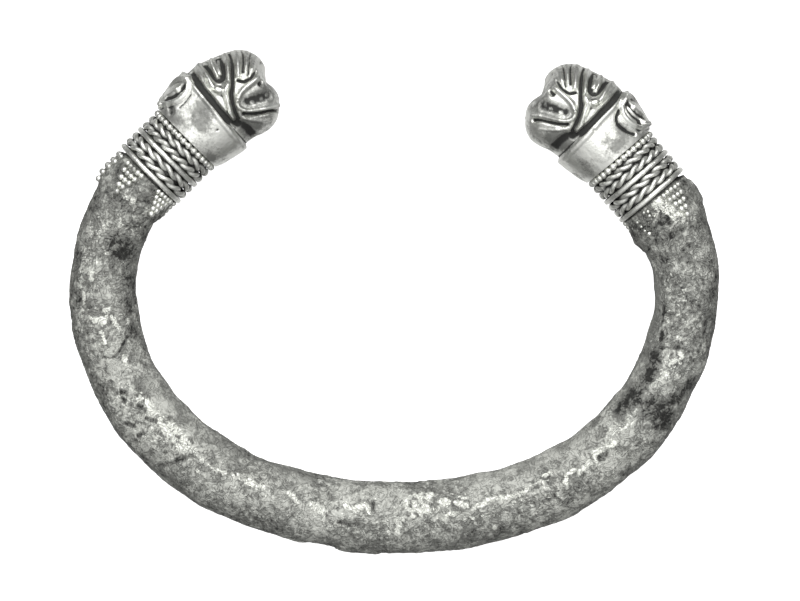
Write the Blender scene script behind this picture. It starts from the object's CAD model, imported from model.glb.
"""An ancient open bracelet: a crusted silver hoop with a beast's head at each end.

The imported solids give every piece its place. This script makes the fine surface of each of them: the
crust of the hoop, the carving of the heads, twisted and beaded wire, and granulated triangles. Shapes
are worked out in millimetres on the hoop as it was laid out flat, then leaned and set down as the
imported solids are, in metres.
"""

import logging
import math
from dataclasses import dataclass, field
from enum import Enum

import bpy
import numpy as np
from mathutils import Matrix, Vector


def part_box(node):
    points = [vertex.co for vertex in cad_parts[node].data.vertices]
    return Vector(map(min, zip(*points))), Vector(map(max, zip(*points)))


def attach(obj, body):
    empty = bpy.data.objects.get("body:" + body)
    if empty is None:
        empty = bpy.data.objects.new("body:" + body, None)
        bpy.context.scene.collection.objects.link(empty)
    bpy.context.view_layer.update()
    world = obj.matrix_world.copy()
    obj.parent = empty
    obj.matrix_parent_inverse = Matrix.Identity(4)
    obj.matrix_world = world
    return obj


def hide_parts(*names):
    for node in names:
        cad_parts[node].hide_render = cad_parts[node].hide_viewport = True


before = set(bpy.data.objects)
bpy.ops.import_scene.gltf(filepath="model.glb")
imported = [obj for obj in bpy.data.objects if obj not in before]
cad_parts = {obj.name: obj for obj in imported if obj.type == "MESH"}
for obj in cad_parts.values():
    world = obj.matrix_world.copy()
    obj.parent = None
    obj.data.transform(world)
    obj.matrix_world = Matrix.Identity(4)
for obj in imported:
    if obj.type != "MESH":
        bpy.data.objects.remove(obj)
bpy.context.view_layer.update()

LOG = logging.getLogger("bracelet")
MM = 0.001
TURN = 2 * math.pi
Array = np.ndarray
Place = tuple[float, float]


class Side(Enum):
    """The two halves of the hoop, as the viewer sees them."""

    LEFT = "left"
    RIGHT = "right"


class Draw(Enum):
    """What random numbers are drawn for at one end, as a step from where that end's start."""

    WIRES = 0
    BEADS = 5
    DENTS = 6
    GRAINS = 10


def smooth_step(low: float, high: float, value: Array) -> Array:
    """An eased rise from 0 at low to 1 at high."""
    t = np.clip((value - low) / (high - low), 0.0, 1.0)
    return t * t * (3.0 - 2.0 * t)


def read_at(stations: tuple[Place, ...], position: Array) -> Array:
    """Reads a list of stations, eased from one to the next.

    Args:
        stations: (position, value) pairs in rising order.
        position: where to read it.

    Returns:
        The value at each position.
    """
    value = np.full(np.shape(position), stations[0][1], float)
    for (x0, y0), (x1, y1) in zip(stations, stations[1:]):
        value += (y1 - y0) * smooth_step(x0, x1, position)
    return value


def smooth_rows(rows: Array, t: Array) -> Array:
    """A smooth curve through rows of numbers.

    Args:
        rows: one row for each knot.
        t: places along the curve, from 0 to 1.

    Returns:
        One row for each place.
    """
    last = len(rows) - 1
    x = np.clip(t, 0.0, 1.0) * last
    i = np.minimum(last - 1, np.floor(x).astype(int))
    f = (x - i)[:, None]
    p, q, r, s = (rows[np.clip(i + k, 0, last)] for k in (-1, 0, 1, 2))
    linear = (r - p) * f
    square = (2 * p - 5 * q + 4 * r - s) * f**2
    cube = (3 * q - p - 3 * r + s) * f**3
    return 0.5 * (2 * q + linear + square + cube)


class Grain:
    """Repeatable unevenness in space, for crust, pits and wear."""

    CHANNELS = 256
    LOUDNESS = 1.6

    def __init__(self, seed: int) -> None:
        """Draws the lattice that the noise is read from.

        Args:
            seed: gives each use its own pattern.
        """
        draw = np.random.default_rng(seed)
        self.order = draw.permutation(self.CHANNELS)
        slopes = draw.normal(size=(self.CHANNELS, 3))
        self.slopes = slopes / np.linalg.norm(slopes, axis=1)[:, None]
        self.offsets = draw.random((self.CHANNELS, 3))

    def _channel(self, cell: Array) -> Array:
        """The lattice's own number at each cell.

        Args:
            cell: whole numbers, three to a row.

        Returns:
            A number below CHANNELS for each row.
        """
        mask = self.CHANNELS - 1
        one = self.order[cell[:, 0] & mask]
        two = self.order[(one + cell[:, 1]) & mask]
        return self.order[(two + cell[:, 2]) & mask]

    def at(self, points: Array, size: float) -> Array:
        """Smooth noise from about -1 to 1, with lumps of about the size given.

        Args:
            points: where to read it.
            size: how far apart its lumps are.

        Returns:
            The noise at each point.
        """
        p = points / size
        cell = np.floor(p).astype(int)
        f = p - cell
        fade = f**3 * (f * (6 * f - 15) + 10)
        total = np.zeros(len(points))
        for corner in np.ndindex(2, 2, 2):
            step = np.array(corner)
            slope = self.slopes[self._channel(cell + step)]
            weight = np.prod(np.where(step, fade, 1 - fade), axis=1)
            total += weight * np.sum(slope * (f - step), axis=1)
        return total * self.LOUDNESS

    def rough(self, points: Array, size: float, octaves: int = 3) -> Array:
        """Noise with finer noise on it, each octave half as large and half as strong."""
        return sum(self.at(points, size / 2**k) / 2**k for k in range(octaves))

    def cells(self, points: Array, size: float) -> tuple[Array, Array, Array]:
        """Scattered cells of about the size given.

        Args:
            points: where to read them.
            size: how far apart the cells' centres are.

        Returns:
            Distances to the nearest and the next nearest centre, as shares of the size, and a number
            from 0 to 1 that belongs to the nearest.
        """
        p = points / size
        home = np.floor(p).astype(int)
        near = np.full(len(points), 9.0)
        after = near.copy()
        own = np.zeros(len(points))
        for corner in np.ndindex(3, 3, 3):
            cell = home + np.array(corner) - 1
            channel = self._channel(cell)
            away = np.linalg.norm(p - cell - self.offsets[channel], axis=1)
            own = np.where(away < near, channel / self.CHANNELS, own)
            after = np.minimum(after, np.maximum(near, away))
            near = np.minimum(near, away)
        return near, after, own


@dataclass(frozen=True)
class HoopLine:
    """The bar's middle line, laid out flat with its gap towards +Y, as arcs from the back outwards."""

    back: Place = (0.6, -26.83)
    left: tuple[Place, ...] = ((51.7, 19.8), (31.0, 28.1), (25.8, 37.8), (20.15, 49.6))
    right: tuple[Place, ...] = ((49.2, 18.9), (30.9, 28.3), (26.6, 36.6), (18.3, 46.8))

    def bends(self, side: Side) -> tuple[Place, ...]:
        """The arcs of one half, as (radius, sweep in degrees)."""
        return self.left if side is Side.LEFT else self.right

    def length(self, side: Side) -> float:
        """How far it is from the hoop's back to the collar's lower wire."""
        return sum(radius * math.radians(sweep) for radius, sweep in self.bends(side))

    def at(self, side: Side, distance: Array) -> tuple[Array, Array, Array]:
        """Follows the middle line.

        Args:
            side: which half.
            distance: from the hoop's back; past the last arc the line runs straight on.

        Returns:
            Points in the plane, the directions along the line and the directions away from the
            hoop's middle.
        """
        hand = -1 if side is Side.LEFT else 1
        heading = np.full(np.shape(distance), math.pi if side is Side.LEFT else 0.0)
        x = np.full(np.shape(distance), self.back[0])
        y = np.full(np.shape(distance), self.back[1])
        left = np.array(distance, float)
        for radius, sweep in self.bends(side):
            turn = np.clip(left / radius, 0.0, math.radians(sweep))
            after = heading + hand * turn
            x = x + hand * radius * (np.sin(after) - np.sin(heading))
            y = y - hand * radius * (np.cos(after) - np.cos(heading))
            heading = after
            left = left - turn * radius
        x = x + np.cos(heading) * left
        y = y + np.sin(heading) * left
        along = np.stack([np.cos(heading), np.sin(heading)], axis=-1)
        outward = hand * np.stack([np.sin(heading), -np.cos(heading)], axis=-1)
        return np.stack([x, y], axis=-1), along, outward


@dataclass(frozen=True)
class EndFrame:
    """One end of the hoop, with its own axes.

    a runs along the end's axis to the muzzle, h away from the hoop's middle and w up or down.
    """

    side: Side
    line: HoopLine

    SEEDS = {Side.LEFT: 50, Side.RIGHT: 70}

    @property
    def up(self) -> int:
        """Which way w points, so that both ends wind alike."""
        return 1 if self.side is Side.LEFT else -1

    def seed(self, use: Draw, number: int = 0) -> int:
        """Where the random numbers for one use start, counting its pieces from 0."""
        return self.SEEDS[self.side] + use.value + number

    def place(self, local: Array) -> Array:
        """Brings points from the end's axes to the laid-out hoop.

        Args:
            local: points in the end's own axes.

        Returns:
            Points on the laid-out hoop.
        """
        start, along, outward = self.line.at(self.side, np.array([self.line.length(self.side)]))
        flat = start + local[:, :1] * along + local[:, 1:2] * outward
        return np.column_stack([flat, self.up * local[:, 2]])


class Resting:
    """How the laid-out bracelet leans and where it is set down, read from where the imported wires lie."""

    LEAN = math.radians(1.37)

    def __init__(self, ends: dict[Side, EndFrame]) -> None:
        """Finds the move that brings the lower wires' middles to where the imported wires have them.

        Args:
            ends: both ends' frames.
        """
        moves = []
        for side, end in ends.items():
            low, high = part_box(f"{side.value}_lower_wire")
            middle = np.array((low + high) / 2) / MM
            moves.append(middle - self._lean(end.place(np.zeros((1, 3))))[0])
        self.move = np.mean(moves, axis=0)

    def _lean(self, points: Array) -> Array:
        """Leans points about the X axis.

        Args:
            points: laid-out points.

        Returns:
            The leaned points.
        """
        c, s = math.cos(self.LEAN), math.sin(self.LEAN)
        x, y, z = points.T
        return np.column_stack([x, y * c - z * s, y * s + z * c])

    def settle(self, points: Array) -> Array:
        """Sets points down as the bracelet rests; what would reach under the floor is worn flat.

        Args:
            points: laid-out points in millimetres.

        Returns:
            Points in metres, none of them under the floor.
        """
        placed = (self._lean(points) + self.move) * MM
        placed[:, 2] = np.maximum(placed[:, 2], 0.0)
        return placed


@dataclass(frozen=True)
class Photograph:
    """Where a place seen in the picture lies on the laid-out hoop."""

    centre: Place = (394.0, 301.0)
    millimetres: float = 80.0 / 646.0

    def seen(self, places: tuple[Place, ...]) -> Array:
        """Picture places as laid-out millimetres."""
        px = np.array(places, float)
        return np.column_stack([px[:, 0] - self.centre[0], self.centre[1] - px[:, 1]]) * self.millimetres


def closed_grid(rows: int, columns: int, capped: bool) -> tuple[Array, list[list[int]]]:
    """Faces of a grid whose columns run round and close on themselves.

    Args:
        rows: how many rings there are.
        columns: how many points each ring has.
        capped: True closes both ends with a point that follows the grid's own; False joins the last
            ring to the first.

    Returns:
        The four-sided faces and the three-sided ones.
    """
    ring = np.arange(rows if not capped else rows - 1)
    i, j = np.meshgrid(ring, np.arange(columns), indexing="ij")
    below, right = (i + 1) % rows, (j + 1) % columns
    here, under = i * columns, below * columns
    quads = np.stack([here + j, here + right, under + right, under + j], -1)
    fans: list[list[int]] = []
    if capped:
        first, last = rows * columns, rows * columns + 1
        start = (rows - 1) * columns
        for k in range(columns):
            after = (k + 1) % columns
            fans.append([after, k, first])
            fans.append([start + k, start + after, last])
    return quads.reshape(-1, 4), fans


def mesh_of(name: str, points: Array, quads: Array, fans: list[list[int]]) -> bpy.types.Mesh:
    """A smooth shaded mesh with its faces turned outwards.

    Args:
        name: the mesh's name.
        points: vertices in metres.
        quads: four-sided faces.
        fans: three-sided faces.

    Returns:
        The mesh.
    """
    corners = points[quads]
    spread = np.cross(corners[:, 2] - corners[:, 0], corners[:, 3] - corners[:, 1])
    middles = corners.mean(axis=1) - points.mean(axis=0)
    # six times the quads' share of the volume, whose sign tells which way they face
    if np.sum(middles * spread) < 0:
        quads = quads[:, ::-1]
        fans = [face[::-1] for face in fans]
    mesh = bpy.data.meshes.new(name)
    mesh.from_pydata(points, [], quads.tolist() + fans)
    mesh.polygons.foreach_set("use_smooth", np.ones(len(mesh.polygons), bool))
    mesh.update()
    return mesh


def give(mesh: bpy.types.Mesh, name: str, values: Array) -> None:
    """Stores a number for each vertex under a name that the finishes read.

    Args:
        mesh: the mesh.
        name: the name.
        values: a number for each vertex; the points that close the ends may be left out, and get 0.
    """
    every = np.zeros(len(mesh.vertices), np.float32)
    every[: len(values)] = values
    attribute = mesh.attributes.new(name, "FLOAT", "POINT")
    attribute.data.foreach_set("value", every)


def places_of(mesh: bpy.types.Mesh) -> Array:
    """Where a mesh's vertices are.

    Args:
        mesh: the mesh.

    Returns:
        A row of three coordinates for each vertex.
    """
    places = np.zeros(len(mesh.vertices) * 3)
    mesh.vertices.foreach_get("co", places)
    return places.reshape(-1, 3)


def hollowness(grid: Array, reach: int, depth: float) -> Array:
    """How far each point of a grid lies below the surface around it.

    Args:
        grid: rings of points, (rows, columns, 3), closed round the columns.
        reach: how many times the surface is averaged with its neighbours first.
        depth: the depth that counts as 1, in the grid's own units.

    Returns:
        A number for each point, positive in hollows and negative on ridges.
    """
    eased = grid.copy()
    for _ in range(reach):
        beside = np.roll(eased, 1, axis=1) + np.roll(eased, -1, axis=1)
        above = np.concatenate([eased[:1], eased[:-1]])
        below = np.concatenate([eased[1:], eased[-1:]])
        eased = (eased * 2 + beside + above + below) / 6
    along = np.gradient(grid, axis=0)
    across = np.roll(grid, -1, axis=1) - np.roll(grid, 1, axis=1)
    normal = np.cross(across, along)
    normal /= np.linalg.norm(normal, axis=2, keepdims=True) + 1e-12
    outwards = np.sign(np.sum(normal * (grid - grid.mean(axis=1, keepdims=True)), axis=(0, 1, 2)))
    return np.sum((eased - grid) * normal, axis=2).ravel() * outwards / depth


class Shade:
    """A number that varies over a surface: a shader socket with the usual arithmetic."""

    def __init__(self, bench: "Bench", socket: bpy.types.NodeSocket) -> None:
        """Wraps a socket.

        Args:
            bench: the material's bench, which adds the nodes.
            socket: the output that carries the number.
        """
        self.bench = bench
        self.socket = socket

    def _maths(self, operation: str, one: "Shade | float", two: "Shade | float") -> "Shade":
        """Adds one Math node and returns its result."""
        return self.bench.node("ShaderNodeMath", {"operation": operation}, {0: one, 1: two}).out()

    def __add__(self, other: "Shade | float") -> "Shade":
        """This plus the other."""
        return self._maths("ADD", self, other)

    def __sub__(self, other: "Shade | float") -> "Shade":
        """This less the other."""
        return self._maths("SUBTRACT", self, other)

    def __rsub__(self, other: float) -> "Shade":
        """A plain number less this."""
        return self._maths("SUBTRACT", other, self)

    def __mul__(self, other: "Shade | float") -> "Shade":
        """This times the other."""
        return self._maths("MULTIPLY", self, other)

    def above(self, low: float, high: float) -> "Shade":
        """An eased rise from 0 where this is low to 1 where it is high."""
        settings = {"interpolation_type": "SMOOTHSTEP"}
        return self.bench.node("ShaderNodeMapRange", settings, {"Value": self, 1: low, 2: high}).out()

    def held(self) -> "Shade":
        """This, kept between 0 and 1."""
        return self.bench.node("ShaderNodeClamp", {}, {"Value": self}).out()


class Made:
    """A node that has just been added, and a way to its outputs."""

    def __init__(self, bench: "Bench", node: bpy.types.Node) -> None:
        """Keeps the node and the bench that it stands on."""
        self.bench = bench
        self.node = node

    def out(self, name: str | int = 0) -> Shade:
        """One of the node's outputs."""
        return Shade(self.bench, self.node.outputs[name])


class Bench:
    """One material being made: it adds nodes and joins them up."""

    def __init__(self, name: str) -> None:
        """Starts a material with a plain shader.

        Args:
            name: the material's name.
        """
        self.material = bpy.data.materials.new(name)
        self.material.use_nodes = True
        self.tree = self.material.node_tree
        self.tree.nodes.clear()
        self.shader = self.tree.nodes.new("ShaderNodeBsdfPrincipled")
        output = self.tree.nodes.new("ShaderNodeOutputMaterial")
        self.tree.links.new(self.shader.outputs[0], output.inputs["Surface"])
        self.space = self.node("ShaderNodeTexCoord", {}, {}).out("Object")

    def node(self, kind: str, settings: dict, inputs: dict) -> Made:
        """Adds a node.

        Args:
            kind: the node's type.
            settings: its own settings, set first.
            inputs: values or outputs for its sockets, by name or number.

        Returns:
            The node.
        """
        node = self.tree.nodes.new(kind)
        for name, value in settings.items():
            setattr(node, name, value)
        for name, value in inputs.items():
            self.feed(node.inputs[name], value)
        return Made(self, node)

    def feed(self, socket: bpy.types.NodeSocket, value: "Shade | float | tuple") -> None:
        """Links an output to a socket, or sets the socket's own value.

        Args:
            socket: the input.
            value: an output to link, or a plain value.
        """
        if isinstance(value, Shade):
            self.tree.links.new(value.socket, socket)
        else:
            socket.default_value = value

    def painted(self, name: str) -> Shade:
        """A number that the mesh holds for each of its points."""
        settings = {"attribute_name": name, "attribute_type": "GEOMETRY"}
        return self.node("ShaderNodeAttribute", settings, {}).out("Fac")

    def mottle(self, size: float, detail: float = 3.0, roughness: float = 0.5, drift: float = 0.0) -> Shade:
        """Smooth noise from 0 to 1.

        Args:
            size: the lumps' size in millimetres.
            detail: how many finer octaves it has.
            roughness: how strong those are.
            drift: how much the pattern is bent.

        Returns:
            The noise.
        """
        values = {"Vector": self.space, "Scale": 1 / (size * MM), "Detail": detail}
        values |= {"Roughness": roughness, "Distortion": drift}
        return self.node("ShaderNodeTexNoise", {}, values).out(0)

    def size_of(self, value: Shade) -> Shade:
        """The value without its sign."""
        return self.node("ShaderNodeMath", {"operation": "ABSOLUTE"}, {0: value}).out()

    def mix(self, share: Shade, one: "Shade | tuple", two: "Shade | tuple") -> Shade:
        """One colour passing into another as the share goes from 0 to 1.

        Args:
            share: how much there is of the second.
            one: the first colour.
            two: the second.

        Returns:
            The mixed colour.
        """
        made = self.node("ShaderNodeMix", {"data_type": "RGBA"}, {0: share})
        # inputs 6 and 7 are the two colours, and output 2 the mixed one
        self.feed(made.node.inputs[6], one)
        self.feed(made.node.inputs[7], two)
        return made.out(2)

    def bump(self, height: Shade, depth: float) -> Shade:
        """A normal roughened by a height, with the depth in millimetres."""
        values = {"Height": height, "Distance": depth * MM, "Strength": 1.0}
        return self.node("ShaderNodeBump", {}, values).out("Normal")

    def finish(self, **looks: "Shade | float | tuple") -> bpy.types.Material:
        """Feeds the shader.

        Args:
            looks: what each of the shader's sockets gets, named with underlines.

        Returns:
            The finished material.
        """
        for name, value in looks.items():
            self.feed(self.shader.inputs[name.replace("_", " ").title().replace("Ior", "IOR")], value)
        return self.material


Colour = tuple[float, float, float, float]


def grey(value: float, warmth: float = 0.0) -> Colour:
    """A near neutral colour; warmth lowers its blue, and its red a little."""
    return (value * (1 - warmth / 6), value, value * (1 - warmth), 1.0)


@dataclass(frozen=True)
class WornSilver:
    """Handled silver: bright on what stands out, dark in what lies deep, clouded in places."""

    name: str = "worn_silver"
    bright: float = 0.9
    clouded: float = 0.34
    oxide: float = 0.035
    warmth: float = 0.055
    polish: float = 0.25
    cloud_size: float = 2.6
    scratch_size: float = 0.35
    # how much scratches and stains add to the oxide and to the clouds
    scratched_oxide: float = 0.7
    stained_oxide: float = 0.42
    cloudiness: float = 1.9
    scratched_cloud: float = 1.2
    stained_cloud: float = 0.75
    # where each of them starts and where it is full
    stain_edge: Place = (0.2, 1.0)
    oxide_edge: Place = (0.05, 1.25)
    cloud_edge: Place = (-0.15, 0.6)
    # how much rougher oxide, clouds and scratches are than the polish
    roughening: tuple[float, float, float] = (0.4, 0.2, 0.16)
    oxide_dulls: float = 0.7
    relief: float = 0.07

    def make(self) -> bpy.types.Material:
        """Builds the material.

        Returns:
            The material; meshes give it hollow and stain for each point.
        """
        bench = Bench(self.name)
        clouds = bench.mottle(self.cloud_size, 5.0, 0.6, 0.4)
        specks = bench.mottle(self.scratch_size, 3.0, 0.6)
        deep = bench.painted("hollow")
        stain = bench.painted("stain")
        stained = stain.above(*self.stain_edge) * self.stained_oxide
        oxide = (deep + (specks - 0.5) * self.scratched_oxide + stained).above(*self.oxide_edge)
        dull = (clouds - 0.5) * self.cloudiness + (specks - 0.5) * self.scratched_cloud
        cloud = (dull + stain * self.stained_cloud).above(*self.cloud_edge)
        metal = bench.mix(cloud, grey(self.bright, self.warmth), grey(self.clouded, self.warmth))
        colour = bench.mix(oxide, metal, grey(self.oxide, self.warmth))
        by_oxide, by_cloud, by_specks = self.roughening
        return bench.finish(
            base_color=colour,
            metallic=1.0 - oxide * self.oxide_dulls,
            roughness=(oxide * by_oxide + cloud * by_cloud + specks * by_specks + self.polish).held(),
            normal=bench.bump(specks * 0.6 + clouds * 0.4, self.relief),
        )


@dataclass(frozen=True)
class Crust:
    """The hoop's corroded silver: a mottled grey skin with bare metal showing through in flecks."""

    name: str = "grey_crust"
    dark: float = 0.028
    middle: float = 0.215
    pale: float = 0.53
    bare: float = 0.86
    warmth: float = 0.075
    blotch_size: float = 1.7
    worm_size: float = 0.5
    vein_size: float = 1.1
    grit_size: float = 0.24
    # how much each of them lightens and darkens the skin
    blotchiness: float = 1.35
    worminess: float = 1.5
    grittiness: float = 0.65
    veining: float = 0.2
    # what brings the veins' share back to about nothing on average
    balance: float = -0.16
    # how much the mesh's own numbers count, and the skin's level without them
    calmed: float = 0.6
    toned: float = 0.55
    hollowed: float = -0.3
    level: float = 0.54
    # how much worms, grit, bare places and hollows count for the flecks
    flecked: tuple[float, float, float, float] = (1.5, 1.3, 0.74, -0.3)
    # where each step of colour starts and where it is full
    vein_edge: Place = (0.0, 0.075)
    middle_edge: Place = (-0.22, 0.5)
    pale_edge: Place = (0.45, 1.1)
    fleck_edge: Place = (0.36, 0.6)
    fleck_metal: float = 0.6
    roughness: float = 0.7
    fleck_gloss: float = 0.24
    sheen: float = 0.25
    relief: float = 0.38

    def make(self) -> bpy.types.Material:
        """Builds the material.

        Returns:
            The material; the mesh gives it tone, bare, calm and hollow for each point.
        """
        bench = Bench(self.name)
        blotch = bench.mottle(self.blotch_size, 3.0, 0.55, 0.3)
        worm = bench.mottle(self.worm_size, 3.0, 0.55, 1.0)
        bent = bench.mottle(self.vein_size, 2.0, 0.5, 1.6)
        vein = bench.size_of(bent - 0.5).above(*self.vein_edge)
        grit = bench.mottle(self.grit_size, 2.0, 0.6)
        tone = bench.painted("tone")
        deep = bench.painted("hollow")
        bare = bench.painted("bare")
        uneven = (blotch - 0.5) * self.blotchiness + (worm - 0.5) * self.worminess
        uneven += (grit - 0.5) * self.grittiness + vein * self.veining + self.balance
        level = uneven * (1.0 - bench.painted("calm") * self.calmed)
        level += tone * self.toned + deep * self.hollowed + self.level
        dark, middle = grey(self.dark, self.warmth), grey(self.middle, self.warmth)
        low = bench.mix(level.above(*self.middle_edge), dark, middle)
        skin = bench.mix(level.above(*self.pale_edge), low, grey(self.pale, self.warmth))
        by_worm, by_grit, by_bare, by_deep = self.flecked
        fleck = (worm - 0.5) * by_worm + (grit - 0.5) * by_grit + bare * by_bare + deep * by_deep
        fleck = fleck.above(*self.fleck_edge)
        colour = bench.mix(fleck, skin, grey(self.bare, self.warmth))
        return bench.finish(
            base_color=colour,
            metallic=fleck * self.fleck_metal,
            roughness=self.roughness - fleck * self.fleck_gloss,
            specular_ior_level=self.sheen,
            normal=bench.bump(worm * 0.5 + grit * 0.26 + vein * 0.3, self.relief),
        )


@dataclass(frozen=True)
class PaleFloor:
    """The plain white surface that the bracelet lies on."""

    name: str = "pale_floor"
    white: float = 0.92
    glow: float = 0.8

    def make(self) -> bpy.types.Material:
        """Builds the material.

        Returns:
            The material.
        """
        bench = Bench(self.name)
        return bench.finish(
            base_color=grey(self.white),
            roughness=0.9,
            emission_color=grey(1.0),
            emission_strength=self.glow,
        )


class Piece:
    """One finished object: dressed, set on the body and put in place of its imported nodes."""

    @staticmethod
    def show(
        name: str, mesh: bpy.types.Mesh, look: bpy.types.Material, slot: str, nodes: list[str],
    ) -> bpy.types.Object:
        """Adds a finished mesh to the scene.

        Args:
            name: the piece's name.
            mesh: its mesh, in place.
            look: its finish.
            slot: the record's material slot.
            nodes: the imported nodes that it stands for.

        Returns:
            The object.
        """
        mesh.materials.clear()
        mesh.materials.append(look)
        piece = bpy.data.objects.new(name, mesh)
        bpy.context.scene.collection.objects.link(piece)
        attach(piece, "root")
        if nodes:
            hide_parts(*nodes)
        LOG.info("%s: %d faces", name, len(mesh.polygons))
        return piece


class GrownMesh:
    """Geometry Nodes trees for what repeats: wire swept along a line, and beads set on points."""

    def __init__(self, name: str, look: bpy.types.Material) -> None:
        """Starts a tree.

        Args:
            name: the tree's name.
            look: the material that it gives.
        """
        self.look = look
        self.tree = bpy.data.node_groups.new(name, "GeometryNodeTree")
        self.tree.interface.new_socket("Path", in_out="INPUT", socket_type="NodeSocketGeometry")
        self.tree.interface.new_socket("Mesh", in_out="OUTPUT", socket_type="NodeSocketGeometry")
        self.start = self.tree.nodes.new("NodeGroupInput")
        self.end = self.tree.nodes.new("NodeGroupOutput")
        self.sockets: dict[str, str] = {}

    def size(self, name: str, kind: str) -> bpy.types.NodeSocket:
        """Adds a named input.

        Args:
            name: the input's name.
            kind: its socket type.

        Returns:
            The socket that carries it.
        """
        made = self.tree.interface.new_socket(name, in_out="INPUT", socket_type=kind)
        self.sockets[name] = made.identifier
        return next(s for s in self.start.outputs if s.identifier == made.identifier)

    def node(self, kind: str, settings: dict, inputs: dict) -> bpy.types.Node:
        """Adds a node.

        Args:
            kind: the node's type.
            settings: its own settings.
            inputs: values or outputs for its sockets.

        Returns:
            The node.
        """
        node = self.tree.nodes.new(kind)
        for name, value in settings.items():
            setattr(node, name, value)
        for name, value in inputs.items():
            if isinstance(value, bpy.types.NodeSocket):
                self.tree.links.new(value, node.inputs[name])
            else:
                node.inputs[name].default_value = value
        return node

    def swept(self) -> bpy.types.NodeSocket:
        """The path's edges swept by a round section, with its Radius and Sides as inputs.

        Returns:
            The swept mesh.
        """
        radius = self.size("Radius", "NodeSocketFloat")
        sides = self.size("Sides", "NodeSocketInt")
        curve = self.node("GeometryNodeMeshToCurve", {}, {"Mesh": self.start.outputs["Path"]})
        section = self.node("GeometryNodeCurvePrimitiveCircle", {}, {"Resolution": sides, "Radius": radius})
        values = {"Curve": curve.outputs[0], "Profile Curve": section.outputs[0]}
        return self.node("GeometryNodeCurveToMesh", {}, values).outputs[0]

    def beaded(self) -> bpy.types.NodeSocket:
        """A bead on each point of the path, with the radius that the point holds.

        How often a bead's faces are divided is the input Rounds.

        Returns:
            The beads as one mesh.
        """
        rounds = self.size("Rounds", "NodeSocketInt")
        ball = self.node("GeometryNodeMeshIcoSphere", {}, {"Radius": 1.0, "Subdivisions": rounds})
        radius = self.node("GeometryNodeInputNamedAttribute", {"data_type": "FLOAT"}, {"Name": "bead"})
        values = {"Points": self.start.outputs["Path"], "Instance": ball.outputs[0]}
        values["Scale"] = radius.outputs[0]
        placed = self.node("GeometryNodeInstanceOnPoints", {}, values)
        return self.node("GeometryNodeRealizeInstances", {}, {"Geometry": placed.outputs[0]}).outputs[0]

    def close(self, *made: bpy.types.NodeSocket) -> None:
        """Joins what was made, smooths it, gives it the finish and ends the tree.

        Args:
            made: outputs that carry meshes.
        """
        joined = self.node("GeometryNodeJoinGeometry", {}, {})
        for socket in made:
            self.tree.links.new(socket, joined.inputs[0])
        smooth = self.node("GeometryNodeSetShadeSmooth", {}, {"Geometry": joined.outputs[0]})
        values = {"Geometry": smooth.outputs[0], "Material": self.look}
        dressed = self.node("GeometryNodeSetMaterial", {}, values)
        self.tree.links.new(dressed.outputs[0], self.end.inputs["Mesh"])

    def grow(self, name: str, path: bpy.types.Mesh, sizes: dict[str, float | int]) -> bpy.types.Mesh:
        """Runs the tree on a path.

        Args:
            name: the new mesh's name.
            path: points, with edges where they are swept.
            sizes: values for the tree's named inputs.

        Returns:
            A plain mesh.
        """
        holder = bpy.data.objects.new(name + "_path", path)
        bpy.context.scene.collection.objects.link(holder)
        modifier = holder.modifiers.new("grown", "NODES")
        modifier.node_group = self.tree
        for label, value in sizes.items():
            modifier[self.sockets[label]] = value
        seen = holder.evaluated_get(bpy.context.evaluated_depsgraph_get())
        mesh = bpy.data.meshes.new_from_object(seen)
        mesh.name = name
        bpy.data.objects.remove(holder)
        return mesh


def path_mesh(name: str, points: Array, joined: bool, beads: Array | None = None) -> bpy.types.Mesh:
    """Points in metres for a tree to work on.

    Args:
        name: the mesh's name.
        points: the points in order.
        joined: True links them into one closed loop.
        beads: a bead radius for each point, in metres.

    Returns:
        The mesh.
    """
    count = len(points)
    edges = [(i, (i + 1) % count) for i in range(count)] if joined else []
    mesh = bpy.data.meshes.new(name)
    mesh.from_pydata(points, edges, [])
    if beads is not None:
        give(mesh, "bead", beads)
    return mesh


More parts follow.
